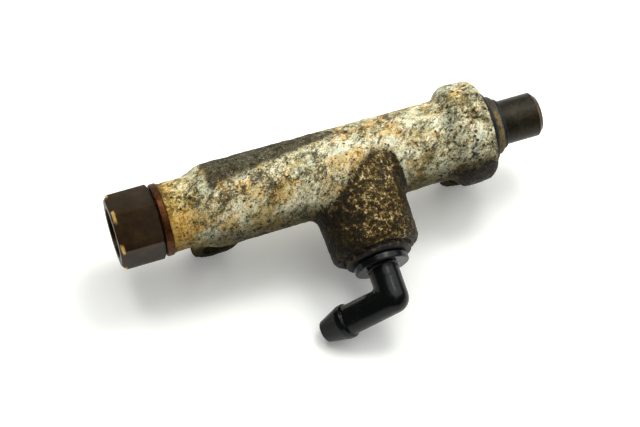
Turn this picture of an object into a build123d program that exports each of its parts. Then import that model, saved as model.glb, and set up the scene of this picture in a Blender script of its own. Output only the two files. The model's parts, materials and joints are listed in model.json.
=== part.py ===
from build123d import *
import os
from math import cos, radians, sin

# Brake master cylinder, millimetres.
#
# Frame: +X runs along the bore from the outlet port to the plunger, +Z is up, and the origin is on
# the bore axis at the mouth of the outlet thread, on the floor of the counterbore in the hexagon.
# The cylinder lies as it rests on a table: on the two bolt lugs and the tip of the hose connector,
# which leaves the casting rolled about its bore.

ROLL = 12.0  # how far the reservoir boss points below the horizontal
BOSS_DIR = Vector(0, -cos(radians(ROLL)), -sin(radians(ROLL)))

# Outlet plug and its washer
HEX_AF = 19.0
HEX_LENGTH = 12.8
HEX_FLAT_ELEVATION = 56.0
HEX_CHAMFER = 1.0
HEX_CORNER_CUT = 1.3
PORT_R = 7.3
PORT_DEPTH = 5.0
PORT_THREAD_R = 4.5
PORT_THREAD_END = 7.0
SEAT_POCKET_R = 4.0
SEAT_POCKET_END = 12.0
PLUG_DRILL_R = 2.0
COLLAR_R = 8.9
COLLAR_LENGTH = 0.4
WASHER_R = 10.6
WASHER_THICKNESS = 2.1
WASHER_ROUND = 0.5
SPIGOT_R = 8.0
SPIGOT_END = 21.6

# Casting
NECK_START = HEX_LENGTH - PORT_DEPTH + COLLAR_LENGTH + WASHER_THICKNESS
NECK_R = 10.2
NECK_END = 15.9
BARREL_START = 25.2
BARREL_R = 12.45
BARREL_END_R = 11.9
BARREL_END = 93.2
END_FACE = 106.9
END_FACE_R = 12.8
CROWN_START = 96.5
CROWN_START_R = 14.4
CROWN_PEAK = 103.2
CROWN_PEAK_R = 15.0
BORE_R = 7.0
GUIDE_BORE_R = 9.0
GUIDE_BORE_START = 93.7
CIRCLIP_GROOVE_R = 9.9

BOSS_X = 65.0
BOSS_R = 14.1
BOSS_DRAFT = 2.5
BOSS_REACH = 27.5
BOSS_RIM = 2.0
RECESS_R = 9.85
RECESS_DEPTH = 7.0
CHAMBER_R = 6.0
CHAMBER_FLOOR = 9.6
COMPENSATING_PORT_X = 60.2
COMPENSATING_PORT_R = 0.5
FEED_PORT_X = 68.6
FEED_PORT_R = 1.25
PORT_BREAKTHROUGH = 1.0

LUG_X = (23.8, 100.8)
LUG_DROP = 16.8
LUG_R = 7.3
LUG_FRONT = 7.4
LUG_THICKNESS = 8.0
LUG_HOLE_R = 4.3
BOLT_HEAD_R = 6.8  # room for an M8 socket head in front of the rear lug
BOLT_WAY_R = 4.5  # room for the bolt behind it

# Seals, piston and plunger
RUN_GAP = 0.05
LOOSE_GAP = 0.1
SEAT_FLANGE = 2.0
SEAT_FLANGE_STEP = 0.8
SEAT_HOLE_R = 1.4
SEAT_TIP_WALL = 0.5
SEAT_THICKNESS = 1.0
SEAT_PILOT = 2.6
SEAT_VENT_R = 1.5
PILOT_DRAFT = 0.5
CAP_THICKNESS = 1.0
CAP_PILOT = 2.4
WIRE_R = 0.6
SPRING_R = 4.9
SPRING_TURNS = 11
SPRING_PILOT_R = 4.15
CUP_LIP = 61.0
CUP_FLOOR = 63.2
CUP_BACK = 65.0
CUP_INNER_R = 5.6
CUP_LIP_FLARE = 0.6
CUP_BACK_GAP = 0.2
SHIM_THICKNESS = 0.3
SHIM_GAP = 0.5
FRONT_LAND_END = 67.3
REAR_LAND_START = 80.0
SEAL_GROOVE_START = 82.0
SEAL_GROOVE_END = 85.0
PISTON_END = 88.0
WAIST_R = 4.4
FEED_HOLES = 6
FEED_HOLE_R = 0.6
FEED_CIRCLE_R = 5.6
SEAL_NOSE = 1.4
SEAL_NOSE_LENGTH = 0.4
SEAL_BACK_GAP = 0.25
HEAD_END = 93.4
PLUNGER_R = 6.5
PLUNGER_END = 124.0
PLUNGER_CHAMFER = 1.4
SOCKET_R = 4.0
SOCKET_DEPTH = 12.0
BUSH_END = 100.7
STOP_THICKNESS = 1.4
STOP_CLEARANCE = 0.3
CIRCLIP_THICKNESS = 1.2
CIRCLIP_INNER_R = 7.6
CIRCLIP_GAP = 5.0
CIRCLIP_GAP_DEPTH = 8.0

# Dust boot
BOOT_BEAD_R = 10.5
BOOT_BEAD_WIDTH = 1.8
BOOT_BEAD_CHAMFER = 0.5
BOOT_SHOULDER_R = 8.6
BOOT_SHOULDER_END = 111.4
BOOT_SHOULDER_ROUND = (1.5, 1.2)
BOOT_LIP_END = 112.4
BOOT_LIP_WALL = 0.5
BOOT_WIPE = (1.2, 1.8)
BOOT_WALL = 1.5
BOOT_SKIRT_START = 103.6
RING_R = 9.3
RING_WIRE_R = 0.5

# Hose connector and its grommet
GROMMET_PROUD = 2.1
GROMMET_HOLE_R = 5.1
GROMMET_ROUND = 0.6
ELBOW_FLANGE_R = 8.0
ELBOW_FLANGE_LOW = 29.8
ELBOW_FLANGE_THICKNESS = 2.2
ELBOW_SPIGOT_R = 5.0
ELBOW_BARB_R = 5.6
ELBOW_BARB_LEAD = 0.9
ELBOW_BARB_START = 18.4
ELBOW_BARB_END = 20.2
ELBOW_NECK_R = 4.5
ELBOW_AXIS = 41.4
ELBOW_SWIVEL = 37.2
ELBOW_BORE_R = 2.6
HOSE_RIDGE_R = 5.15
HOSE_RIDGE_START = 15.5
HOSE_RIDGE_END = 17.2
HOSE_TIP_R = 3.25
HOSE_TIP = 23.9

os.makedirs("parts", exist_ok=True)

# Planes that look along the boss: local X is the bore, local -Y points to the lugs.
cross_plane = Plane(origin=(0, 0, 0), x_dir=(1, 0, 0), z_dir=BOSS_DIR)
boss_plane = Plane(origin=(BOSS_X, 0, 0), x_dir=(1, 0, 0), z_dir=BOSS_DIR)
arm_dir = boss_plane.from_local_coords(Vector(-cos(radians(ELBOW_SWIVEL)), -sin(radians(ELBOW_SWIVEL)), 0))
arm_dir = (arm_dir - boss_plane.origin).normalized()
arm_origin = boss_plane.origin + BOSS_DIR * ELBOW_AXIS
arm_plane = Plane(origin=arm_origin, x_dir=BOSS_DIR, z_dir=arm_dir)
end_plane = Plane.YZ  # looks along the bore
boss_axis = Axis(origin=(0, 0, 0), direction=BOSS_DIR)


# The casting: turned outline, lugs and boss, then the machined bores and the room for the rear bolt.
with BuildPart() as cylinder_body:
    with BuildSketch(Plane.XY):
        with BuildLine():
            Polyline((NECK_START, 0), (NECK_START, NECK_R), (NECK_END, NECK_R))
            Spline(
                (NECK_END, NECK_R),
                (BARREL_START, BARREL_R),
                tangents=((1, 0), (1, 0)),
            )
            Line((BARREL_START, BARREL_R), (BARREL_END, BARREL_END_R))
            Spline(
                (BARREL_END, BARREL_END_R),
                (CROWN_START, CROWN_START_R),
                (CROWN_PEAK, CROWN_PEAK_R),
                (END_FACE, END_FACE_R),
                tangents=((1, 0.15), (0.35, -1)),
            )
            Polyline((END_FACE, END_FACE_R), (END_FACE, 0), (NECK_START, 0))
        make_face()
    revolve(axis=Axis.X)

    with BuildSketch(cross_plane.offset(LUG_FRONT)):
        for lug_x in LUG_X:
            with Locations((lug_x, -LUG_DROP)):
                Circle(LUG_R)
            with Locations((lug_x - LUG_R, -LUG_DROP)):
                Rectangle(min(2 * LUG_R, END_FACE - lug_x + LUG_R), LUG_DROP, align=(Align.MIN, Align.MIN))
    extrude(amount=-LUG_THICKNESS)

    with BuildSketch(boss_plane):
        Circle(BOSS_R)
    extrude(amount=BOSS_REACH, taper=BOSS_DRAFT)
    fillet(edges().group_by(boss_axis)[-1], BOSS_RIM)

    with BuildSketch(Plane.XY):
        with BuildLine():
            Polyline(
                (NECK_START, 0),
                (NECK_START, SPIGOT_R),
                (SPIGOT_END, SPIGOT_R),
                (SPIGOT_END, BORE_R),
                (GUIDE_BORE_START, BORE_R),
                (GUIDE_BORE_START, GUIDE_BORE_R),
                (BUSH_END + STOP_THICKNESS, GUIDE_BORE_R),
                (BUSH_END + STOP_THICKNESS, CIRCLIP_GROOVE_R),
                (BUSH_END + STOP_THICKNESS + CIRCLIP_THICKNESS, CIRCLIP_GROOVE_R),
                (BUSH_END + STOP_THICKNESS + CIRCLIP_THICKNESS, GUIDE_BORE_R),
                (END_FACE, GUIDE_BORE_R),
                (END_FACE, 0),
                close=True,
            )
        make_face()
    revolve(axis=Axis.X, mode=Mode.SUBTRACT)

    with BuildSketch(boss_plane.offset(BOSS_REACH)):
        Circle(RECESS_R)
    extrude(amount=-RECESS_DEPTH, mode=Mode.SUBTRACT)
    with BuildSketch(boss_plane.offset(BOSS_REACH)):
        Circle(CHAMBER_R)
    extrude(amount=CHAMBER_FLOOR - BOSS_REACH, mode=Mode.SUBTRACT)
    with BuildSketch(cross_plane):
        with Locations((COMPENSATING_PORT_X, 0)):
            Circle(COMPENSATING_PORT_R)
        with Locations((FEED_PORT_X, 0)):
            Circle(FEED_PORT_R)
    extrude(amount=CHAMBER_FLOOR + PORT_BREAKTHROUGH, mode=Mode.SUBTRACT)

    with BuildSketch(cross_plane.offset(LUG_FRONT)):
        with Locations([(lug_x, -LUG_DROP) for lug_x in LUG_X]):
            Circle(LUG_HOLE_R)
    extrude(amount=-LUG_THICKNESS, mode=Mode.SUBTRACT)

    with BuildSketch(cross_plane.offset(LUG_FRONT)):
        with Locations((LUG_X[1], -LUG_DROP)):
            Circle(BOLT_HEAD_R)
    extrude(amount=CROWN_PEAK_R, mode=Mode.SUBTRACT)
    with BuildSketch(cross_plane.offset(LUG_FRONT - LUG_THICKNESS)):
        with Locations((LUG_X[1], -LUG_DROP)):
            Circle(BOLT_WAY_R)
    extrude(amount=-CROWN_PEAK_R, mode=Mode.SUBTRACT)
cylinder_body.part.label = "cylinder_body"
export_step(cylinder_body.part, "parts/cylinder_body.step")


# The plug: hexagon with its corners turned off, a washer face, and the threaded spigot.
hex_start = -PORT_DEPTH
hex_end = hex_start + HEX_LENGTH
collar_end = hex_end + COLLAR_LENGTH
corner_r = HEX_AF / 2 / cos(radians(30))
with BuildPart() as outlet_plug:
    with BuildSketch(end_plane.offset(hex_start)):
        RegularPolygon(HEX_AF / 2, 6, major_radius=False, rotation=90 - HEX_FLAT_ELEVATION)
    extrude(amount=HEX_LENGTH)
    with BuildSketch(Plane.XY):
        with BuildLine():
            Polyline(
                (hex_start, 0),
                (hex_start, corner_r - HEX_CORNER_CUT),
                (hex_start + HEX_CHAMFER, corner_r),
                (hex_end - HEX_CHAMFER / 2, corner_r),
                (hex_end, corner_r - HEX_CHAMFER),
                (hex_end, 0),
                close=True,
            )
        make_face()
    revolve(axis=Axis.X, mode=Mode.INTERSECT)
    with BuildSketch(Plane.XY):
        with BuildLine():
            Polyline(
                (hex_end, 0),
                (hex_end, COLLAR_R),
                (collar_end, COLLAR_R),
                (collar_end, SPIGOT_R),
                (SPIGOT_END, SPIGOT_R),
                (SPIGOT_END, 0),
                close=True,
            )
        make_face()
    revolve(axis=Axis.X)
    with BuildSketch(Plane.XY):
        with BuildLine():
            Polyline(
                (hex_start, 0),
                (hex_start, PORT_R),
                (0, PORT_R),
                (0, PORT_THREAD_R),
                (PORT_THREAD_END, PORT_THREAD_R),
                (PORT_THREAD_END, SEAT_POCKET_R),
                (SEAT_POCKET_END, SEAT_POCKET_R),
                (SEAT_POCKET_END, PLUG_DRILL_R),
                (SPIGOT_END, PLUG_DRILL_R),
                (SPIGOT_END, 0),
                close=True,
            )
        make_face()
    revolve(axis=Axis.X, mode=Mode.SUBTRACT)
outlet_plug.part.label = "outlet_plug"
export_step(outlet_plug.part, "parts/outlet_plug.step")


# The copper washer, clamped between the plug and the neck, with rounded edges.
with BuildPart() as plug_washer:
    with BuildSketch(end_plane.offset(NECK_START - WASHER_THICKNESS)):
        Circle(WASHER_R)
        Circle(SPIGOT_R, mode=Mode.SUBTRACT)
    extrude(amount=WASHER_THICKNESS)
    fillet(plug_washer.edges().filter_by(GeomType.CIRCLE).group_by(SortBy.RADIUS)[-1], WASHER_ROUND)
plug_washer.part.label = "plug_washer"
export_step(plug_washer.part, "parts/plug_washer.step")


# The flare seat, pressed into the pocket below the outlet thread: a cone with a drilled centre.
with BuildPart() as tube_seat:
    with BuildSketch(Plane.XY):
        with BuildLine():
            Polyline(
                (SEAT_POCKET_END, SEAT_HOLE_R),
                (SEAT_POCKET_END, SEAT_POCKET_R),
                (SEAT_POCKET_END - SEAT_FLANGE, SEAT_POCKET_R),
                (SEAT_POCKET_END - SEAT_FLANGE, SEAT_POCKET_R - SEAT_FLANGE_STEP),
                (PORT_THREAD_END, SEAT_HOLE_R + SEAT_TIP_WALL),
                (PORT_THREAD_END, SEAT_HOLE_R),
                close=True,
            )
        make_face()
    revolve(axis=Axis.X)
tube_seat.part.label = "tube_seat"
export_step(tube_seat.part, "parts/tube_seat.step")


# The dished plate under the fixed end of the return spring.
with BuildPart() as spring_seat:
    with BuildSketch(Plane.XY):
        with BuildLine():
            Polyline(
                (SPIGOT_END, SEAT_VENT_R),
                (SPIGOT_END, BORE_R - LOOSE_GAP),
                (SPIGOT_END + SEAT_THICKNESS, BORE_R - LOOSE_GAP),
                (SPIGOT_END + SEAT_THICKNESS, SPRING_PILOT_R),
                (SPIGOT_END + SEAT_THICKNESS + SEAT_PILOT, SPRING_PILOT_R - PILOT_DRAFT),
                (SPIGOT_END + SEAT_THICKNESS + SEAT_PILOT, SEAT_VENT_R),
                close=True,
            )
        make_face()
    revolve(axis=Axis.X)
spring_seat.part.label = "spring_seat"
export_step(spring_seat.part, "parts/spring_seat.step")


# The return spring, between the seat and the cap on the primary cup.
cap_face = CUP_FLOOR - CAP_THICKNESS
spring_start = SPIGOT_END + SEAT_THICKNESS + WIRE_R + RUN_GAP
spring_length = cap_face - WIRE_R - RUN_GAP - spring_start
with BuildPart() as return_spring:
    with BuildLine():
        spring_pitch = spring_length / SPRING_TURNS
        coil = Helix(spring_pitch, spring_length, SPRING_R, center=(spring_start, 0, 0), direction=(1, 0, 0))
    with BuildSketch(Plane(origin=coil @ 0, z_dir=coil % 0)):
        Circle(WIRE_R)
    sweep(path=coil, is_frenet=True)
return_spring.part.label = "return_spring"
export_step(return_spring.part, "parts/return_spring.step")


# The cap that spreads the spring's push over the floor of the primary cup.
with BuildPart() as spring_cap:
    with BuildSketch(Plane.XY):
        with BuildLine():
            Polyline(
                (CUP_FLOOR, 0),
                (CUP_FLOOR, CUP_INNER_R - LOOSE_GAP),
                (cap_face, CUP_INNER_R - LOOSE_GAP),
                (cap_face, SPRING_PILOT_R),
                (cap_face - CAP_PILOT, SPRING_PILOT_R - PILOT_DRAFT),
                (cap_face - CAP_PILOT, 0),
                close=True,
            )
        make_face()
    revolve(axis=Axis.X)
spring_cap.part.label = "spring_cap"
export_step(spring_cap.part, "parts/spring_cap.step")


# The primary cup: a solid back and a thin lip that opens towards the outlet.
with BuildPart() as primary_cup:
    with BuildSketch(Plane.XY):
        with BuildLine():
            Polyline(
                (CUP_BACK, 0),
                (CUP_BACK, BORE_R - CUP_BACK_GAP),
                (CUP_LIP, BORE_R - RUN_GAP),
                (CUP_LIP, CUP_INNER_R + CUP_LIP_FLARE),
                (CUP_FLOOR, CUP_INNER_R),
                (CUP_FLOOR, 0),
                close=True,
            )
        make_face()
    revolve(axis=Axis.X)
primary_cup.part.label = "primary_cup"
export_step(primary_cup.part, "parts/primary_cup.step")


# The thin washer that keeps the cup out of the feed holes in the piston.
with BuildPart() as cup_shim:
    with BuildSketch(end_plane.offset(CUP_BACK)):
        Circle(BORE_R - SHIM_GAP)
    extrude(amount=SHIM_THICKNESS)
cup_shim.part.label = "cup_shim"
export_step(cup_shim.part, "parts/cup_shim.step")


# The piston: front land with feed holes, waist, and the grooved rear land.
with BuildPart() as piston:
    with BuildSketch(Plane.XY):
        with BuildLine():
            Polyline(
                (CUP_BACK + SHIM_THICKNESS, 0),
                (CUP_BACK + SHIM_THICKNESS, BORE_R - RUN_GAP),
                (FRONT_LAND_END, BORE_R - RUN_GAP),
                (FRONT_LAND_END, WAIST_R),
                (REAR_LAND_START, WAIST_R),
                (REAR_LAND_START, BORE_R - RUN_GAP),
                (SEAL_GROOVE_START, BORE_R - RUN_GAP),
                (SEAL_GROOVE_START, WAIST_R),
                (SEAL_GROOVE_END, WAIST_R),
                (SEAL_GROOVE_END, BORE_R - RUN_GAP),
                (PISTON_END, BORE_R - RUN_GAP),
                (PISTON_END, 0),
                close=True,
            )
        make_face()
    revolve(axis=Axis.X)
    with BuildSketch(end_plane.offset(CUP_BACK)):
        with PolarLocations(FEED_CIRCLE_R, FEED_HOLES):
            Circle(FEED_HOLE_R)
    extrude(amount=FRONT_LAND_END - CUP_BACK, mode=Mode.SUBTRACT)
piston.part.label = "piston"
export_step(piston.part, "parts/piston.step")


# The secondary cup, a lipped ring stretched into the piston's groove.
with BuildPart() as secondary_cup:
    with BuildSketch(Plane.XY):
        with BuildLine():
            Polyline(
                (SEAL_GROOVE_START + LOOSE_GAP, WAIST_R),
                (SEAL_GROOVE_START + LOOSE_GAP, BORE_R - SEAL_NOSE),
                (SEAL_GROOVE_START + LOOSE_GAP + SEAL_NOSE_LENGTH, BORE_R - RUN_GAP),
                (SEAL_GROOVE_END - LOOSE_GAP, BORE_R - SEAL_BACK_GAP),
                (SEAL_GROOVE_END - LOOSE_GAP, WAIST_R),
                close=True,
            )
        make_face()
    revolve(axis=Axis.X)
secondary_cup.part.label = "secondary_cup"
export_step(secondary_cup.part, "parts/secondary_cup.step")


# The plunger: a head that the guide bush holds in, and the rod with its push rod socket.
with BuildPart() as plunger:
    with BuildSketch(Plane.XY):
        with BuildLine():
            Polyline(
                (PISTON_END, 0),
                (PISTON_END, BORE_R - RUN_GAP),
                (HEAD_END, BORE_R - RUN_GAP),
                (HEAD_END, PLUNGER_R),
                (PLUNGER_END - PLUNGER_CHAMFER, PLUNGER_R),
                (PLUNGER_END, PLUNGER_R - PLUNGER_CHAMFER),
                (PLUNGER_END, SOCKET_R),
                (PLUNGER_END - SOCKET_DEPTH + SOCKET_R, SOCKET_R),
            )
            CenterArc((PLUNGER_END - SOCKET_DEPTH + SOCKET_R, 0), SOCKET_R, 90, 90)
            Line((PLUNGER_END - SOCKET_DEPTH, 0), (PISTON_END, 0))
        make_face()
    revolve(axis=Axis.X)
plunger.part.label = "plunger"
export_step(plunger.part, "parts/plunger.step")


# The bearing that the plunger slides in.
with BuildPart() as guide_bush:
    with BuildSketch(end_plane.offset(GUIDE_BORE_START)):
        Circle(GUIDE_BORE_R)
        Circle(PLUNGER_R + RUN_GAP, mode=Mode.SUBTRACT)
    extrude(amount=BUSH_END - GUIDE_BORE_START)
guide_bush.part.label = "guide_bush"
export_step(guide_bush.part, "parts/guide_bush.step")


# The steel washer between the bush and the circlip.
with BuildPart() as stop_washer:
    with BuildSketch(end_plane.offset(BUSH_END)):
        Circle(GUIDE_BORE_R - LOOSE_GAP)
        Circle(PLUNGER_R + STOP_CLEARANCE, mode=Mode.SUBTRACT)
    extrude(amount=STOP_THICKNESS)
stop_washer.part.label = "stop_washer"
export_step(stop_washer.part, "parts/stop_washer.step")


# The internal circlip, open at its gap.
with BuildPart() as circlip:
    with BuildSketch(end_plane.offset(BUSH_END + STOP_THICKNESS)):
        Circle(CIRCLIP_GROOVE_R - LOOSE_GAP)
        Circle(CIRCLIP_INNER_R, mode=Mode.SUBTRACT)
        with Locations((0, CIRCLIP_GROOVE_R)):
            Rectangle(CIRCLIP_GAP, CIRCLIP_GAP_DEPTH, mode=Mode.SUBTRACT)
    extrude(amount=CIRCLIP_THICKNESS)
circlip.part.label = "circlip"
export_step(circlip.part, "parts/circlip.step")


# The dust boot: a skirt inside the mouth, a bead over the end face, a shoulder and a wiping lip.
lip_r = PLUNGER_R + RUN_GAP
with BuildPart() as dust_boot:
    with BuildSketch(Plane.XY):
        with BuildLine():
            Polyline(
                (BOOT_SKIRT_START, GUIDE_BORE_R - BOOT_WALL),
                (BOOT_SKIRT_START, GUIDE_BORE_R),
                (END_FACE, GUIDE_BORE_R),
                (END_FACE, BOOT_BEAD_R - BOOT_BEAD_CHAMFER),
                (END_FACE + BOOT_BEAD_CHAMFER, BOOT_BEAD_R),
                (END_FACE + BOOT_BEAD_WIDTH - BOOT_BEAD_CHAMFER, BOOT_BEAD_R),
                (END_FACE + BOOT_BEAD_WIDTH, BOOT_BEAD_R - BOOT_BEAD_CHAMFER),
                (END_FACE + BOOT_BEAD_WIDTH, BOOT_SHOULDER_R),
                (BOOT_SHOULDER_END - BOOT_SHOULDER_ROUND[0], BOOT_SHOULDER_R),
                (BOOT_SHOULDER_END, BOOT_SHOULDER_R - BOOT_SHOULDER_ROUND[1]),
                (BOOT_LIP_END, lip_r + BOOT_LIP_WALL),
                (BOOT_LIP_END, lip_r),
                (BOOT_SHOULDER_END - BOOT_WIPE[0], lip_r),
                (BOOT_SHOULDER_END - BOOT_WIPE[1], GUIDE_BORE_R - BOOT_WALL),
                close=True,
            )
        make_face()
    revolve(axis=Axis.X)
    with BuildSketch(Plane.XY):
        with Locations((END_FACE + BOOT_BEAD_WIDTH / 2, RING_R)):
            Circle(RING_WIRE_R)
    revolve(axis=Axis.X, mode=Mode.SUBTRACT)
dust_boot.part.label = "dust_boot"
export_step(dust_boot.part, "parts/dust_boot.step")


# The wire ring moulded into the bead of the boot.
with BuildPart() as boot_ring:
    with BuildSketch(Plane.XY):
        with Locations((END_FACE + BOOT_BEAD_WIDTH / 2, RING_R)):
            Circle(RING_WIRE_R)
    revolve(axis=Axis.X)
boot_ring.part.label = "boot_ring"
export_step(boot_ring.part, "parts/boot_ring.step")


# The grommet, pressed into the recess of the boss, with a rounded outer edge.
with BuildPart() as reservoir_grommet:
    with BuildSketch(boss_plane.offset(BOSS_REACH - RECESS_DEPTH)):
        Circle(RECESS_R)
        Circle(GROMMET_HOLE_R, mode=Mode.SUBTRACT)
    extrude(amount=RECESS_DEPTH + GROMMET_PROUD)
    outer_top = reservoir_grommet.edges().group_by(boss_axis)[-1]
    fillet(outer_top.group_by(SortBy.RADIUS)[-1], GROMMET_ROUND)
reservoir_grommet.part.label = "reservoir_grommet"
export_step(reservoir_grommet.part, "parts/reservoir_grommet.step")


# The hose connector: barbed spigot, flange, neck, and the hose arm with its ridge and tapered tip.
with BuildPart() as hose_elbow:
    with BuildSketch(boss_plane.offset(ELBOW_BARB_START)):
        Circle(ELBOW_BARB_R)
    extrude(amount=ELBOW_BARB_END - ELBOW_BARB_START)
    chamfer(hose_elbow.edges().group_by(boss_axis)[0], ELBOW_BARB_LEAD)
    with BuildSketch(boss_plane.offset(ELBOW_BARB_END)):
        Circle(ELBOW_SPIGOT_R)
    extrude(amount=ELBOW_FLANGE_LOW - ELBOW_BARB_END)
    with BuildSketch(boss_plane.offset(ELBOW_FLANGE_LOW)):
        Circle(ELBOW_FLANGE_R)
    extrude(amount=ELBOW_FLANGE_THICKNESS)
    with BuildSketch(boss_plane.offset(ELBOW_FLANGE_LOW)):
        Circle(ELBOW_NECK_R)
    extrude(amount=ELBOW_AXIS - ELBOW_FLANGE_LOW)
    with Locations(Location(arm_origin)):
        Sphere(ELBOW_NECK_R)
    with BuildSketch(Plane(origin=arm_origin, x_dir=arm_dir, z_dir=arm_plane.y_dir)) as arm_outline:
        with BuildLine():
            Polyline(
                (0, 0),
                (0, ELBOW_NECK_R),
                (HOSE_RIDGE_START, ELBOW_NECK_R),
                (HOSE_RIDGE_START, HOSE_RIDGE_R),
                (HOSE_RIDGE_END, HOSE_RIDGE_R),
                (HOSE_TIP, HOSE_TIP_R),
                (HOSE_TIP, 0),
                close=True,
            )
        make_face()
    revolve(axis=Axis(origin=arm_origin, direction=arm_dir))
    with BuildSketch(boss_plane.offset(ELBOW_BARB_START)):
        Circle(ELBOW_BORE_R)
    extrude(amount=ELBOW_AXIS - ELBOW_BARB_START, mode=Mode.SUBTRACT)
    with Locations(Location(arm_origin)):
        Sphere(ELBOW_BORE_R, mode=Mode.SUBTRACT)
    with BuildSketch(arm_plane):
        Circle(ELBOW_BORE_R)
    extrude(amount=HOSE_TIP, mode=Mode.SUBTRACT)
hose_elbow.part.label = "hose_elbow"
export_step(hose_elbow.part, "parts/hose_elbow.step")
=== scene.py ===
import json
from math import cos, pi, radians, sin

import bpy
from mathutils import Matrix, Vector


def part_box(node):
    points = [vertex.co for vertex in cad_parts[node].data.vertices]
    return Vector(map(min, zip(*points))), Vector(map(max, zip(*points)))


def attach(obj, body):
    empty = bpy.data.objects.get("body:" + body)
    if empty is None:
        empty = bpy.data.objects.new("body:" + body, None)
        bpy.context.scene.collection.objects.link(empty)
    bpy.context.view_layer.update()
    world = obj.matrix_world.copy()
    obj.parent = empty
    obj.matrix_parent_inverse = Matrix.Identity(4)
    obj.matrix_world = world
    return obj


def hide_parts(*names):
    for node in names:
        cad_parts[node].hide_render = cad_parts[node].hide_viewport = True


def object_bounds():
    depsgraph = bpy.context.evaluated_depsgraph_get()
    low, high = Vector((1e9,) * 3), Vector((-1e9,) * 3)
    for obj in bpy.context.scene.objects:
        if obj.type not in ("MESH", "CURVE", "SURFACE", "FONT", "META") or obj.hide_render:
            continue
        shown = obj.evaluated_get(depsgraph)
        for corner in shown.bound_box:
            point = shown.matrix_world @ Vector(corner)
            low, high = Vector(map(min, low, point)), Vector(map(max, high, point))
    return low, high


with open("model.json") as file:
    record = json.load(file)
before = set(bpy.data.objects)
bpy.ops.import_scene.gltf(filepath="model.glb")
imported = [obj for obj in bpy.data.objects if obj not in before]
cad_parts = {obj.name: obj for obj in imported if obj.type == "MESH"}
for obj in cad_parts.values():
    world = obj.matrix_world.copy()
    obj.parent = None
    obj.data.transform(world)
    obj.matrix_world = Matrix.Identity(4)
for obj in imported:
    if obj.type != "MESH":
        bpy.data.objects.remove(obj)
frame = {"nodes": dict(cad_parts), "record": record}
cad_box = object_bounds()

MM = 0.001
joints = {joint["name"]: joint for joint in frame["record"]["behaviour"]["joints"]}
mounts = {mount["name"]: mount for mount in frame["record"]["mounts"]}


# ---- The casting -------------------------------------------------------------------------------
# Gravity-cast aluminium: neck, barrel, reservoir boss, crowned end collar and two bolt lugs in one
# piece. It left the mould sand-rough, was bored and faced, and has since weathered, stained and pitted.

NECK_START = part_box("cylinder_body")[0][0]
END_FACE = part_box("dust_boot")[1][0] - 5.5 * MM
BARREL_R = 12.45 * MM
BORE_SKIN_R = 10.05 * MM
BOSS_DIR = Vector(joints["connector_swivel"]["axis"])
BOSS_X = joints["connector_swivel"]["pos_m"][0]
LUG_DIR = Vector((1, 0, 0)).cross(BOSS_DIR)
BOSS_R = 13.8 * MM
BOSS_REACH = 27.5 * MM
RECESS_R = 9.85 * MM
RECESS_FLOOR = 9 * MM
LUG_HOLE_SKIN_R = 4.7 * MM
LUG_CENTRES = [Vector(mounts[name]["pos_m"]) for name in ("front_lug", "rear_lug")]


class Value:
    """A number, colour or vector inside a finish. Sums on it add Math nodes to that finish."""

    def __init__(self, finish, socket):
        self.finish = finish
        self.socket = socket

    def math(self, operation, first, second=0.0):
        return self.finish.node("ShaderNodeMath", {"operation": operation}, {0: first, 1: second})

    def __add__(self, other):
        return self.math("ADD", self, other)

    __radd__ = __add__

    def __sub__(self, other):
        return self.math("SUBTRACT", self, other)

    def __rsub__(self, other):
        return self.math("SUBTRACT", other, self)

    def __mul__(self, other):
        return self.math("MULTIPLY", self, other)

    __rmul__ = __mul__

    def __abs__(self):
        return self.math("ABSOLUTE", self)

    def or_more(self, other):
        return self.math("MAXIMUM", self, other)

    def or_less(self, other):
        return self.math("MINIMUM", self, other)


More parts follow.
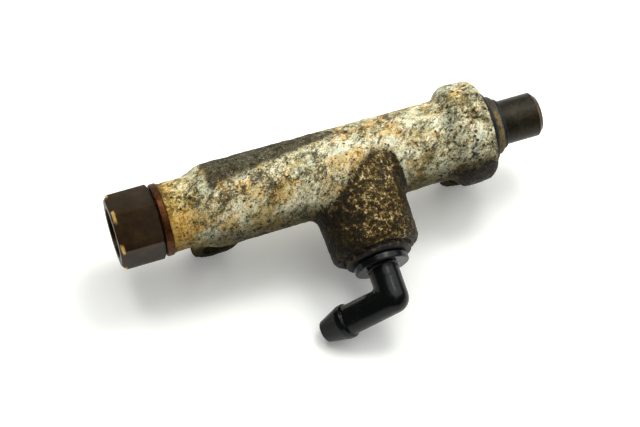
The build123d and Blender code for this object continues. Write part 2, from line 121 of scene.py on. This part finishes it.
class Finish:
    """The finish of one material: a Principled shader fed by procedural patterns."""

    def __init__(self, name, **constants):
        self.material = bpy.data.materials.new(name)
        self.material.use_nodes = True
        self.tree = self.material.node_tree
        self.shader = self.tree.nodes["Principled BSDF"]
        for socket, value in constants.items():
            self.shader.inputs[socket.replace("_", " ")].default_value = value
        self.place = self.node("ShaderNodeTexCoord", output="Object")

    def node(self, kind, settings=None, inputs=None, output=0):
        """Add a shader node with these settings and inputs, and return one of its outputs."""
        made = self.tree.nodes.new(kind)
        for name, value in (settings or {}).items():
            if name == "stops":
                ramp = made.color_ramp
                while len(ramp.elements) < len(value):
                    ramp.elements.new(0.5)
                for element, (position, colour) in zip(ramp.elements, value):
                    element.position = position
                    element.color = (*colour, 1)
            else:
                setattr(made, name, value)
        for name, value in (inputs or {}).items():
            if isinstance(value, Value):
                self.tree.links.new(value.socket, made.inputs[name])
            else:
                made.inputs[name].default_value = value
        return Value(self, made.outputs[output])

    def noise(self, size, detail=4.0, roughness=0.6, distortion=0.0, place=None):
        """Cloudy noise from 0 to 1, with blotches about size metres across."""
        return self.node(
            "ShaderNodeTexNoise",
            None,
            {"Vector": place or self.place, "Scale": 1 / size, "Detail": detail, "Roughness": roughness,
             "Distortion": distortion},
        )

    def cells(self, size, place):
        """Distance to the nearest of many scattered points, about size metres apart."""
        inputs = {"Vector": place, "Scale": 1 / size}
        return self.node("ShaderNodeTexVoronoi", {"feature": "F1"}, inputs, "Distance")

    def step(self, value, low, high):
        """0 below low, 1 above high, and smooth between; low may be the larger."""
        return self.node(
            "ShaderNodeMapRange",
            {"interpolation_type": "SMOOTHSTEP"},
            {"Value": value, "From Min": low, "From Max": high},
        )

    def ramp(self, value, stops):
        """The colour that value picks from (position, colour) stops."""
        return self.node("ShaderNodeValToRGB", {"stops": stops}, {"Fac": value})

    def mix(self, mask, first, second, how="MIX"):
        """first where mask is 0 and second where it is 1."""
        colours = [(*c, 1) if isinstance(c, tuple) else c for c in (first, second)]
        inputs = {0: mask, 6: colours[0], 7: colours[1]}
        return self.node("ShaderNodeMix", {"data_type": "RGBA", "blend_type": how}, inputs, 2)

    def along(self, direction):
        """How far a point lies along a direction, in metres."""
        return self.node(
            "ShaderNodeVectorMath", {"operation": "DOT_PRODUCT"}, {0: self.place, 1: direction}, "Value"
        )

    def stretched(self, scales, origin=(0, 0, 0)):
        """Object coordinates with each axis scaled, and moved by origin."""
        inputs = {"Vector": self.place, "Scale": scales, "Location": origin}
        return self.node("ShaderNodeMapping", None, inputs)

    def bump(self, height, distance):
        """A surface normal tilted by a height that stands for distance metres."""
        inputs = {"Height": height, "Distance": distance, "Strength": 1.0}
        return self.node("ShaderNodeBump", None, inputs)

    def feed(self, **sockets):
        """Link values to the shader's sockets, named with underscores."""
        for name, value in sockets.items():
            self.tree.links.new(value.socket, self.shader.inputs[name.replace("_", " ")])


def only_selected(piece):
    """Deselect everything else and make piece the active object."""
    bpy.ops.object.select_all(action="DESELECT")
    piece.select_set(True)
    bpy.context.view_layer.objects.active = piece


def copy_of(node, name):
    """A new piece with the CAD node's mesh, its loose triangles merged."""
    piece = bpy.data.objects.new(name, frame["nodes"][node].data.copy())
    bpy.context.collection.objects.link(piece)
    only_selected(piece)
    bpy.ops.object.mode_set(mode="EDIT")
    bpy.ops.mesh.select_all(action="SELECT")
    bpy.ops.mesh.remove_doubles(threshold=1e-6)
    bpy.ops.object.mode_set(mode="OBJECT")
    piece.data.materials.clear()
    return piece


def modify(piece, kind, **settings):
    """Add a modifier and apply it."""
    only_selected(piece)
    modifier = piece.modifiers.new(kind.title(), kind)
    for name, value in settings.items():
        setattr(modifier, name, value)
    bpy.ops.object.modifier_apply(modifier=modifier.name)


def smooth_where(piece, chosen, factor, repeat):
    """Relax the vertices for which chosen(place) is true."""
    only_selected(piece)
    bpy.ops.object.mode_set(mode="EDIT")
    bpy.ops.mesh.select_mode(type="VERT")
    bpy.ops.mesh.select_all(action="DESELECT")
    bpy.ops.object.mode_set(mode="OBJECT")
    for vertex in piece.data.vertices:
        vertex.select = chosen(vertex.co)
    bpy.ops.object.mode_set(mode="EDIT")
    bpy.ops.mesh.vertices_smooth(factor=factor, repeat=repeat)
    bpy.ops.object.mode_set(mode="OBJECT")


def finish_piece(piece, finish, body, slot, *nodes):
    """Give a new piece its finish and body, smooth its shading and hide the CAD nodes it stands for; the
    slot argument is not used.
    """
    piece.data.materials.append(finish.material)
    only_selected(piece)
    bpy.ops.object.shade_smooth_by_angle(angle=radians(40))
    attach(piece, body)
    if nodes:
        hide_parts(*nodes)


def off_bore(place):
    """Distance from the bore axis."""
    return Vector((0, place.y, place.z)).length


def off_boss(place):
    """Distance from the boss axis."""
    return Vector((place.x - BOSS_X, place.dot(LUG_DIR))).length


def off_lug(place):
    """Distance from the nearer lug hole's axis."""
    return min(
        Vector((place.x - centre.x, (place - centre).dot(LUG_DIR))).length for centre in LUG_CENTRES
    )


def machined(place):
    """Whether a point is on a bored or faced surface, which is smooth."""
    reach = place.dot(BOSS_DIR)
    bored = off_bore(place) < BORE_SKIN_R and reach < RECESS_FLOOR + 0.5 * MM
    recessed = off_boss(place) < RECESS_R + 0.25 * MM and reach > RECESS_FLOOR
    faced = reach > BOSS_REACH - 0.3 * MM and off_boss(place) < RECESS_R + 1.5 * MM
    ends = place.x < NECK_START + 0.5 * MM or place.x > END_FACE - 0.25 * MM
    return bored or recessed or faced or ends or off_lug(place) < LUG_HOLE_SKIN_R


def at_boss_root(place):
    """Whether a point is in the corner where the boss grows out of the barrel."""
    near_barrel = abs(off_bore(place) - BARREL_R) < ROOT_WIDTH
    near_boss = abs(off_boss(place) - BOSS_R) < 2.4 * MM
    return near_barrel and near_boss and place.dot(BOSS_DIR) > -2 * MM


def at_lug_root(place):
    """Whether a point is in the corner where a lug grows out of the barrel."""
    near_barrel = abs(off_bore(place) - LUG_ROOT_R) < ROOT_WIDTH
    return near_barrel and 5 * MM < off_lug(place) < 11 * MM


ROOT_WIDTH = 1.8 * MM
LUG_ROOT_R = 13 * MM
casting = copy_of("cylinder_body", "casting")
modify(casting, "REMESH", mode="VOXEL", voxel_size=0.50 * MM)

# The mould rounds its corners, most of all at the roots of the boss and the lugs.
smooth_where(casting, at_boss_root, 0.5, 45)
smooth_where(casting, at_lug_root, 0.5, 25)
smooth_where(casting, lambda place: not machined(place), 0.5, 3)

# Sand texture, shallow waves and corrosion pits stand on the as-cast skin only.
as_cast = casting.vertex_groups.new(name="as_cast")
as_cast.add([v.index for v in casting.data.vertices if not machined(v.co)], 1.0, "REPLACE")
RELIEFS = [
    ("waves", "CLOUDS", 5.0 * MM, 0.35 * MM, 0.75),
    ("lumps", "CLOUDS", 1.5 * MM, 0.30 * MM, 0.70),
    ("grit", "STUCCI", 0.6 * MM, 0.16 * MM, 0.70),
]
for name, kind, size, depth, middle in RELIEFS:
    texture = bpy.data.textures.new(name, kind)
    texture.noise_scale = size
    modify(
        casting, "DISPLACE", texture=texture, strength=depth, mid_level=middle,
        vertex_group="as_cast", texture_coords="LOCAL",
    )

cast = Finish("weathered_casting", Metallic=0.0, Specular_IOR_Level=0.10)
x = cast.along((1, 0, 0))
y = cast.along((0, 1, 0))
z = cast.along((0, 0, 1))
reach = cast.along(tuple(BOSS_DIR))
drop = cast.along(tuple(LUG_DIR))


def shifted(seed, scales=(1, 1, 1)):
    """Object coordinates moved elsewhere, so that a second noise differs from the first."""
    return cast.stretched(scales, (seed * 0.37, seed * 0.61, seed * 0.23))


# Oxide: cream and ochre, broken up at every size from sand grains to patches as wide as a thumb.
blotch = cast.noise(7.5 * MM, 8, 0.73)
mottle = cast.noise(1.6 * MM, 6, 0.80, 0.3, shifted(1))
grain = cast.noise(0.45 * MM, 4, 0.80, 0, shifted(2))
level = (blotch - 0.5) * 1.9 + (mottle - 0.5) * 1.6 + (grain - 0.5) * 1.5 + 0.52
skin = cast.ramp(
    level,
    [(0.24, (0.11, 0.090, 0.040)), (0.38, (0.34, 0.290, 0.150)), (0.50, (0.60, 0.53, 0.300)),
     (0.62, (0.80, 0.73, 0.460)), (0.78, (0.97, 0.93, 0.70))],
)
ochre = cast.step(cast.noise(9.0 * MM, 8, 0.72, 0.4, shifted(3)), 0.48, 0.58)
skin = cast.mix(ochre * 0.80, skin, (0.86, 0.62, 0.30), "MULTIPLY")
bloom = cast.step(cast.noise(8.0 * MM, 8, 0.73, 0.3, shifted(4)), 0.50, 0.58)
skin = cast.mix(bloom * 0.85, skin, (0.74, 0.84, 0.90), "MULTIPLY")

# Blue-black corrosion lies in short slanting strokes.
slant = cast.node(
    "ShaderNodeMapping", {"vector_type": "TEXTURE"},
    {"Vector": cast.place, "Rotation": (0.3, -0.2, radians(38)), "Scale": (2.6, 1.0, 1.4)},
)
strokes = cast.noise(1.25 * MM, 6, 0.80, 0.5, slant)
where = cast.step(cast.noise(9.0 * MM, 5, 0.7, 0, shifted(5)), 0.44, 0.56)
stroke = cast.step(strokes + where * 0.05, 0.580, 0.615)
skin = cast.mix(stroke * 0.86, skin, (0.062, 0.074, 0.068))
speck = cast.step(cast.noise(0.65 * MM, 5, 0.80, 0, shifted(6)), 0.415, 0.365)
skin = cast.mix(speck * 0.85, skin, (0.045, 0.038, 0.020))

# The side of the barrel below the boss line is darker, partly with olive road dirt and partly with painted
# shade where it faces down and towards the front.
depth = z * 0.55 + y * 0.83 + (mottle - 0.5) * (9 * MM) + (blotch - 0.5) * (7 * MM)
dirt_and_underside_shade = cast.step(depth, -4 * MM, -11 * MM)
skin = cast.mix(dirt_and_underside_shade * 0.70, skin, (0.100, 0.082, 0.034))
# Painted shade: the lugs are painted nearly black, where they hang down towards the table.
lug = cast.step(drop + (mottle - 0.5) * (3 * MM), 11.5 * MM, 14.0 * MM)
skin = cast.mix(lug * 0.90, skin, (0.034, 0.031, 0.016))

# A yellow stain runs back from the copper washer over the neck.
yellow = cast.step(x + (blotch - 0.5) * (16 * MM) + (mottle - 0.5) * (6 * MM), 22 * MM, 12 * MM)
skin = cast.mix(yellow * 0.90, skin, (1.0, 0.80, 0.40), "MULTIPLY")
rusty = cast.step(x + (mottle - 0.5) * (4 * MM), 14.0 * MM, 11.0 * MM)
skin = cast.mix(rusty * 0.45, skin, (0.26, 0.14, 0.025))

# A strip of black grime lies along the top of the barrel, widest beside the neck.
ragged = (blotch - 0.5) * (9 * MM) + (mottle - 0.5) * (7 * MM) + (grain - 0.5) * (2 * MM)
strip = cast.step(y - (x - 25 * MM) * 0.17 + ragged * 1.1, -2.0 * MM, -0.6 * MM)
strip = strip * cast.step(z + ragged * 1.6, 2.0 * MM, 4.6 * MM)
strip = strip * cast.step(x + ragged * 0.6, 22.5 * MM, 24.5 * MM)
strip = strip * cast.step(x + ragged * 2.6, 68 * MM, 60 * MM)
soot = cast.ramp(
    grain * 0.6 + mottle * 0.4,
    [(0.40, (0.012, 0.010, 0.006)), (0.50, (0.040, 0.034, 0.017)), (0.56, (0.10, 0.088, 0.048)),
     (0.63, (0.38, 0.35, 0.23))],
)
skin = cast.mix(strip * 0.95, skin, soot)

# The collar carries blue-black patches, and its lower side is painted dark brown as shade.
collar = cast.step(x, 92 * MM, 97 * MM)
patch = cast.step(cast.noise(3.2 * MM, 7, 0.78, 0.5, shifted(7)), 0.48, 0.56)
skin = cast.mix(collar * patch * 0.80, skin, (0.33, 0.34, 0.32), "MULTIPLY")
# Painted shade: the collar darkens to brown on its lower, front side.
below = cast.step(z * 0.9 + y * 0.4 + ragged * 0.5, -1.0 * MM, -7 * MM)
skin = cast.mix(collar * below * 0.85, skin, (0.058, 0.042, 0.014))

# Grease covers the boss and climbs the barrel from it, highest on the side of the plunger. On it are painted
# glints, and its upper middle is painted lighter as lit.
left_edge = 10.6 * MM - (x - 58 * MM) * 0.72
top_edge = 0.9 * MM + (x - 71.7 * MM) * 0.55
right_edge = 3.8 * MM + (x - 77 * MM) * 4.0
highest = left_edge.or_more(top_edge).or_more(right_edge).or_less(12.6 * MM)
grease = cast.step(reach - highest + ragged * 1.9, -0.4 * MM, 0.4 * MM)
# The grease is dark brown with amber flecks of its own; its brightest cream-white flecks are painted glints.
glint = cast.noise(1.05 * MM, 6, 0.88, 0.4, shifted(8))
amber = cast.noise(2.6 * MM, 5, 0.75, 0.3, shifted(9))
# Painted light: the upper middle of the boss is painted lighter as lit, its sides and bottom darker as
# shade.
painted_light_middle = cast.step(abs(x - (BOSS_X + 3 * MM)), 13 * MM, 3 * MM)
painted_light_middle = painted_light_middle * cast.step(z + reach * 0.2, -9 * MM, 1 * MM)
fleck_glint_and_light_level = glint * 0.70 + amber * 0.30 + painted_light_middle * 0.058 - 0.034
# The top stop, near white, is the colour of the painted glints.
grease_and_painted_glints = cast.ramp(
    fleck_glint_and_light_level,
    [(0.45, (0.0030, 0.0016, 0.0003)), (0.510, (0.017, 0.0098, 0.0016)), (0.550, (0.085, 0.052, 0.008)),
     (0.585, (0.40, 0.25, 0.055)), (0.625, (1.0, 0.92, 0.62))],
)
skin = cast.mix(grease * 0.97, skin, grease_and_painted_glints)

# Corrosion has eaten round pits into the skin, close together on the collar.
pits = cast.cells(2.3 * MM, shifted(1, (1, 1.2, 1.2)))
pit = cast.step(pits + (mottle - 0.5) * 0.6 - collar * 0.10, 0.17, 0.10)
skin = cast.mix(pit * 0.88, skin, (0.026, 0.019, 0.009))
relief = blotch * 0.35 + mottle * 0.55 + grain * 0.35 + glint * grease * 0.5
relief = relief - pit * 0.9 - speck * 0.4 - stroke * 0.3
cast.feed(
    Base_Color=skin,
    Roughness=0.82 - grease * 0.40 - strip * 0.10,
    Normal=cast.bump(relief, 0.40 * MM),
)
finish_piece(casting, cast, "housing", "cast_aluminium", "cylinder_body")


# ---- The outlet plug ---------------------------------------------------------------------------
# A turned steel plug with a hexagon head, screwed into the neck. Its oil-brown oxide is smooth and
# dark, and the spanner has worn the corners of the head to a bright gold.

plug = copy_of("outlet_plug", "plug")
modify(plug, "BEVEL", width=0.22 * MM, segments=3, limit_method="ANGLE", angle_limit=radians(25))
PLUG_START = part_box("outlet_plug")[0][0]
brown = Finish("browned_steel", Metallic=0.4, Specular_IOR_Level=0.18)
cloud = brown.noise(5 * MM, 4, 0.6)
fine = brown.noise(0.35 * MM, 4, 0.7)
tone = brown.ramp(
    cloud * 0.75 + fine * 0.25,
    [(0.36, (0.017, 0.0084, 0.0026)), (0.52, (0.030, 0.0160, 0.0048)), (0.68, (0.050, 0.029, 0.009))],
)
off_axis = brown.node(
    "ShaderNodeVectorMath", {"operation": "LENGTH"}, {0: brown.stretched((0, 1, 1))}, "Value"
)
worn = brown.step(off_axis + (cloud - 0.5) * (1.6 * MM) + (fine - 0.5) * (0.8 * MM), 10.05 * MM, 10.45 * MM)
at_end = brown.step(brown.along((1, 0, 0)) + (fine - 0.5) * MM, PLUG_START + 1.5 * MM, PLUG_START + 1.0 * MM)
edge = brown.node("ShaderNodeNewGeometry", output="Pointiness")
ridge = brown.step(edge, 0.53, 0.60)
tone = brown.mix(ridge * 0.30, tone, (0.17, 0.105, 0.045))
tone = brown.mix(worn * at_end * 0.95, tone, (0.80, 0.50, 0.14))
brown.feed(
    Base_Color=tone,
    Roughness=0.34 + fine * 0.2 - worn * 0.08,
    Normal=brown.bump(fine + cloud * 0.5, 0.02 * MM),
)
finish_piece(plug, brown, "housing", "plug_steel", "outlet_plug")


# ---- Washer, flare seat and inner metal --------------------------------------------------------
# The copper washer is crushed between plug and neck. The brass flare seat sits in the port, and the
# zinc plated pressings and spring steel parts lie inside the bore.

def bare_metal(name, dark, light, roughness, size, bump=0.01):
    """Metal with a cloudy tarnish between two tones and fine turning marks around the bore."""
    metal = Finish(name, Metallic=1.0)
    tarnish = metal.noise(size, 6, 0.65)
    marks = metal.noise(0.12 * MM, 3, 0.6, 0, metal.stretched((1, 0.03, 0.03)))
    metal.feed(
        Base_Color=metal.ramp(tarnish, [(0.35, dark), (0.65, light)]),
        Roughness=roughness + tarnish * 0.2 + marks * 0.1,
        Normal=metal.bump(marks + tarnish * 0.5, bump * MM),
    )
    return metal


copper = bare_metal("tarnished_copper", (0.035, 0.012, 0.004), (0.13, 0.052, 0.020), 0.38, 1.2 * MM, 0.05)
brass = bare_metal("turned_brass", (0.42, 0.30, 0.12), (0.66, 0.50, 0.24), 0.25, 2 * MM)
zinc = bare_metal("zinc_plate", (0.42, 0.42, 0.38), (0.66, 0.66, 0.60), 0.32, 2 * MM)
spring_steel = bare_metal("spring_steel", (0.10, 0.10, 0.11), (0.24, 0.24, 0.25), 0.30, 1.5 * MM)
turned = bare_metal("turned_aluminium", (0.62, 0.62, 0.61), (0.82, 0.82, 0.80), 0.22, 3 * MM)
METAL_NODES = {
    "plug_washer": copper, "tube_seat": brass, "spring_seat": zinc, "spring_cap": zinc, "cup_shim": zinc,
    "stop_washer": zinc, "return_spring": spring_steel, "circlip": spring_steel, "boot_ring": spring_steel,
    "piston": turned,
}
for node, metal in METAL_NODES.items():
    piece = frame["nodes"][node]
    piece.data.materials.clear()
    piece.data.materials.append(metal.material)


# ---- Seals and guide bush ----------------------------------------------------------------------
# The cups are moulded black rubber. The guide bush is machined from natural nylon.

seal = Finish("moulded_rubber", Specular_IOR_Level=0.4)
haze = seal.noise(1.5 * MM, 5, 0.6)
seal.feed(
    Base_Color=seal.ramp(haze, [(0.4, (0.012, 0.012, 0.013)), (0.7, (0.035, 0.034, 0.034))]),
    Roughness=0.5 + haze * 0.2,
    Normal=seal.bump(haze, 0.03 * MM),
)
nylon = Finish("natural_nylon", Specular_IOR_Level=0.5)
milk = nylon.noise(2 * MM, 4, 0.6)
nylon.feed(
    Base_Color=nylon.ramp(milk, [(0.4, (0.60, 0.57, 0.47)), (0.7, (0.74, 0.72, 0.62))]),
    Roughness=0.42 + milk * 0.15,
)
for node, finish in (("primary_cup", seal), ("secondary_cup", seal), ("guide_bush", nylon)):
    piece = frame["nodes"][node]
    piece.data.materials.clear()
    piece.data.materials.append(finish.material)


# ---- The plunger -------------------------------------------------------------------------------
# Ground steel with a bronze-brown oxide film. Its outer end is turned back to a chamfer, where the
# film has worn to a coppery line, and is drilled for the push rod.

plunger = copy_of("plunger", "plunger_rod")
modify(plunger, "BEVEL", width=0.25 * MM, segments=3, limit_method="ANGLE", angle_limit=radians(25))
PLUNGER_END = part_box("plunger")[1][0]
bronze = Finish("bronzed_steel", Metallic=0.5, Specular_IOR_Level=0.18)
film = bronze.noise(2.6 * MM, 6, 0.65, 0.3)
dots = bronze.noise(0.42 * MM, 4, 0.7)
lines = bronze.noise(0.5 * MM, 3, 0.6, 0, bronze.stretched((1, 0.06, 0.06)))
tone = bronze.ramp(
    film * 0.7 + dots * 0.3,
    [(0.36, (0.008, 0.0068, 0.0036)), (0.52, (0.020, 0.0165, 0.0085)), (0.70, (0.046, 0.036, 0.018))],
)
bright = bronze.step(dots, 0.66, 0.74)
tone = bronze.mix(bright * 0.5, tone, (0.26, 0.22, 0.15))
rim = bronze.step(bronze.along((1, 0, 0)), PLUNGER_END - 1.6 * MM, PLUNGER_END - 1.1 * MM)
rubbed = rim * bronze.step(film + dots * 0.5, 0.72, 0.85)
tone = bronze.mix(rubbed * 0.55, tone, (0.26, 0.12, 0.05))
bronze.feed(
    Base_Color=tone,
    Roughness=0.33 + film * 0.22,
    Normal=bronze.bump(lines + dots * 0.6, 0.02 * MM),
)
finish_piece(plunger, bronze, "plunger_group", "plunger_steel", "plunger")


# ---- The dust boot -----------------------------------------------------------------------------
# Moulded rubber: a round bead over the end face, a soft shoulder where ochre road dust has settled,
# and a thin lip that wipes the plunger. Its skirt is held inside the mouth of the bore.

BOOT_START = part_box("dust_boot")[0][0]
BOOT_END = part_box("dust_boot")[1][0]


def spun(name, outline, axis=Vector((1, 0, 0)), origin=Vector((0, 0, 0)), steps=128):
    """A closed ring, made by turning an outline of (along, out) points about an axis."""
    bpy.ops.object.select_all(action="DESELECT")
    bpy.ops.mesh.primitive_circle_add(vertices=len(outline), radius=MM, fill_type="NOTHING")
    piece = bpy.context.object
    piece.name = name
    side = axis.orthogonal().normalized()
    for vertex, (along, out) in zip(piece.data.vertices, outline):
        vertex.co = origin + axis * along + side * out
    bpy.ops.object.mode_set(mode="EDIT")
    bpy.ops.mesh.select_all(action="SELECT")
    bpy.ops.mesh.spin(steps=steps, angle=2 * pi, center=origin, axis=axis)
    bpy.ops.mesh.select_all(action="SELECT")
    bpy.ops.mesh.remove_doubles(threshold=1e-6)
    bpy.ops.mesh.normals_make_consistent(inside=False)
    bpy.ops.object.mode_set(mode="OBJECT")
    return piece


def arc(centre, radius, start, end, count):
    """Points along an arc of an outline, angles in degrees from the axis."""
    angles = [radians(start + (end - start) * i / count) for i in range(count + 1)]
    return [(centre[0] + radius * cos(a), centre[1] + radius * sin(a)) for a in angles]


SKIRT_HOLE_R = 7.6 * MM
SKIRT_R = 8.97 * MM
WIPE_R = 6.56 * MM
SHOULDER_R = 8.6 * MM
face = END_FACE
boot_outline = (
    [(BOOT_START, SKIRT_HOLE_R), (BOOT_START, SKIRT_R), (face + 0.02 * MM, SKIRT_R)]
    + arc((face + 0.9 * MM, 9.6 * MM), 0.88 * MM, 150, 20, 8)
    + arc((face + 2.15 * MM, SHOULDER_R + 0.45 * MM), 0.42 * MM, 200, 270, 4)
    + arc((BOOT_END - 2.6 * MM, SHOULDER_R - 1.4 * MM), 1.45 * MM, 90, 15, 7)
    + arc((BOOT_END - 0.45 * MM, WIPE_R + 0.42 * MM), 0.40 * MM, 120, -60, 6)
    + [(BOOT_END - 2.0 * MM, WIPE_R + 0.02 * MM), (BOOT_END - 2.6 * MM, 7.5 * MM)]
)
boot = spun("boot", boot_outline)
dusty = Finish("dusty_rubber", Specular_IOR_Level=0.12)
along = dusty.along((1, 0, 0))
cloud = dusty.noise(2.0 * MM, 6, 0.7)
fine = dusty.noise(0.35 * MM, 4, 0.7)
black = dusty.ramp(cloud, [(0.4, (0.010, 0.011, 0.013)), (0.7, (0.030, 0.032, 0.034))])
on_shoulder = dusty.step(along, face + 2.0 * MM, face + 2.5 * MM) * dusty.step(
    along + (cloud - 0.5) * (1.5 * MM), BOOT_END - 1.3 * MM, BOOT_END - 1.7 * MM
)
front = dusty.step(dusty.along((0, 0.85, 0.52)) + (cloud - 0.5) * (8 * MM), 5 * MM, 3 * MM)
dust = on_shoulder * (0.25 + front * 0.75) * dusty.step(cloud + fine * 0.35, 0.46, 0.66)
powder = dusty.ramp(fine, [(0.35, (0.07, 0.050, 0.018)), (0.65, (0.26, 0.19, 0.085))])
dusty.feed(
    Base_Color=dusty.mix(dust, black, powder),
    Roughness=0.45 + dust * 0.4 + fine * 0.1,
    Normal=dusty.bump(cloud * 0.6 + fine * 0.4, 0.06 * MM),
)
finish_piece(boot, dusty, "housing", "rubber", "dust_boot")


# ---- The reservoir grommet ---------------------------------------------------------------------
# A thick rubber ring pressed into the boss. It stands a little proud, and the crevice round its top
# holds ochre dust.

boss_foot = Vector((BOSS_X, 0, 0))
GROMMET_FOOT = BOSS_REACH - 7 * MM
GROMMET_TOP = BOSS_REACH + 2.05 * MM
GROMMET_R = RECESS_R - 0.03 * MM
GROMMET_HOLE_R = 5.12 * MM
grommet_outline = (
    [(GROMMET_FOOT, GROMMET_HOLE_R), (GROMMET_FOOT, GROMMET_R)]
    + [(BOSS_REACH - 0.5 * MM, GROMMET_R), (BOSS_REACH + 0.1 * MM, RECESS_R - 0.3 * MM)]
    + arc((GROMMET_TOP - 0.9 * MM, RECESS_R - 1.0 * MM), 0.88 * MM, 130, 0, 8)
    + arc((GROMMET_TOP - 0.3 * MM, GROMMET_HOLE_R + 0.35 * MM), 0.3 * MM, 0, -90, 4)
)
grommet = spun("grommet", grommet_outline, BOSS_DIR, boss_foot)
crust = Finish("dusty_grommet", Specular_IOR_Level=0.15)
cloud = crust.noise(1.7 * MM, 6, 0.7, 0.3)
fine = crust.noise(0.3 * MM, 4, 0.7)
height = crust.along(tuple(BOSS_DIR))
rust = crust.step(cloud, 0.50, 0.60) * crust.step(height, GROMMET_TOP - 0.1 * MM, GROMMET_TOP - 0.9 * MM)
crust.feed(
    Base_Color=crust.mix(
        rust * 0.9,
        crust.ramp(cloud, [(0.4, (0.010, 0.010, 0.010)), (0.7, (0.032, 0.030, 0.026))]),
        crust.ramp(fine, [(0.35, (0.10, 0.055, 0.014)), (0.65, (0.27, 0.16, 0.05))]),
    ),
    Roughness=0.5 + rust * 0.35,
    Normal=crust.bump(cloud * 0.5 + fine * 0.5, 0.08 * MM),
)
finish_piece(grommet, crust, "housing", "rubber", "reservoir_grommet")


# ---- The hose connector ------------------------------------------------------------------------
# One injection moulding in glossy black plastic: a barbed spigot, a flange, a right-angle neck and a
# hose arm with one ridge and a tapered tip. Its corners are radiused by the mould.

connector = copy_of("hose_elbow", "connector")
modify(connector, "REMESH", mode="VOXEL", voxel_size=0.22 * MM)
smooth_where(connector, lambda place: True, 0.5, 4)
ELBOW_CORNER = boss_foot + BOSS_DIR * 41.4 * MM
CORNER_REACH = 7.5 * MM
smooth_where(connector, lambda place: (place - ELBOW_CORNER).length < CORNER_REACH, 0.5, 40)
gloss = Finish("glossy_moulding", Specular_IOR_Level=0.20)
ripple = gloss.noise(2.2 * MM, 3, 0.5)
scuff = gloss.noise(0.5 * MM, 4, 0.7, 0, gloss.stretched((1, 0.3, 1)))
film = gloss.step(gloss.noise(3.5 * MM, 5, 0.7), 0.5, 0.7)
gloss.feed(
    Base_Color=gloss.mix(film * 0.5, (0.0025, 0.0030, 0.0030), (0.008, 0.009, 0.009)),
    Roughness=0.17 + film * 0.10 + scuff * 0.08,
    Normal=gloss.bump(ripple + scuff * 0.10, 0.05 * MM),
)
finish_piece(connector, gloss, "hose_connector", "moulded_plastic", "hose_elbow")


# ---- Table, light and camera -------------------------------------------------------------------
# A white table that keeps a soft grey-green shadow, a broad light overhead and a little behind, and
# a camera that looks down from the front left.

FLOOR_Z = cad_box[0][2]
bpy.ops.object.select_all(action="DESELECT")
bpy.ops.mesh.primitive_plane_add(size=6, location=(0, 0, FLOOR_Z))
table = bpy.context.object
table.name = "table"
white = Finish("white_table", Roughness=0.6, Specular_IOR_Level=0.2)
white.shader.inputs["Base Color"].default_value = (0.94, 0.955, 0.90, 1)
seen = white.node("ShaderNodeLightPath", output="Is Camera Ray")
mirrored = white.node("ShaderNodeLightPath", output="Is Glossy Ray")
glow = white.node("ShaderNodeEmission", None, {"Color": (1, 1, 1, 1), "Strength": (seen + mirrored) * 0.20})
both = white.node("ShaderNodeAddShader", None, {0: Value(white, white.shader.outputs[0]), 1: glow})
white.tree.links.new(both.socket, white.tree.nodes["Material Output"].inputs["Surface"])
table.data.materials.append(white.material)

world = bpy.data.worlds.new("studio")
bpy.context.scene.world = world
world.use_nodes = True
sky = world.node_tree.nodes["Background"]
sky.inputs["Color"].default_value = (1, 1, 1, 1)
sky.inputs["Strength"].default_value = 0.10

AIM = Vector((0.055, -0.015, -0.005))


def area_light(name, place, aim, size, power):
    """A soft square lamp at a place, turned to face its aim."""
    lamp = bpy.data.lights.new(name, "AREA")
    lamp.size = size
    lamp.energy = power
    holder = bpy.data.objects.new(name, lamp)
    bpy.context.collection.objects.link(holder)
    holder.location = place
    holder.rotation_euler = (Vector(aim) - Vector(place)).to_track_quat("-Z", "Y").to_euler()


area_light("overhead", (0.26, 0.12, 0.48), AIM, 0.85, 4.6)
area_light("left_lamp", (-0.10, 0.20, 0.60), AIM, 0.20, 0.7)
area_light("right_lamp", (0.26, 0.12, 0.58), AIM, 0.20, 1.3)

VIEW_AZIMUTH = radians(19.74)
VIEW_ELEVATION = radians(58.73)
VIEW_ROLL = radians(0.98)
VIEW_DISTANCE = 0.593
VIEW_LEFT = 3.06 * MM
VIEW_UP = 4.04 * MM
forward = Vector((
    sin(VIEW_AZIMUTH) * cos(VIEW_ELEVATION), cos(VIEW_AZIMUTH) * cos(VIEW_ELEVATION), -sin(VIEW_ELEVATION)
))
level_right = Vector((cos(VIEW_AZIMUTH), -sin(VIEW_AZIMUTH), 0))
level_up = level_right.cross(forward)
right = level_right * cos(VIEW_ROLL) + level_up * sin(VIEW_ROLL)
up = level_up * cos(VIEW_ROLL) - level_right * sin(VIEW_ROLL)
target = AIM - right * VIEW_LEFT + up * VIEW_UP
camera_data = bpy.data.cameras.new("camera")
camera_data.sensor_width = 36
camera_data.lens = 116.66
camera = bpy.data.objects.new("camera", camera_data)
bpy.context.collection.objects.link(camera)
turn = Matrix((right, up, -forward)).transposed().to_4x4()
camera.matrix_world = Matrix.Translation(target - forward * VIEW_DISTANCE) @ turn
bpy.context.scene.camera = camera
bpy.context.scene.view_settings.view_transform = "Standard"
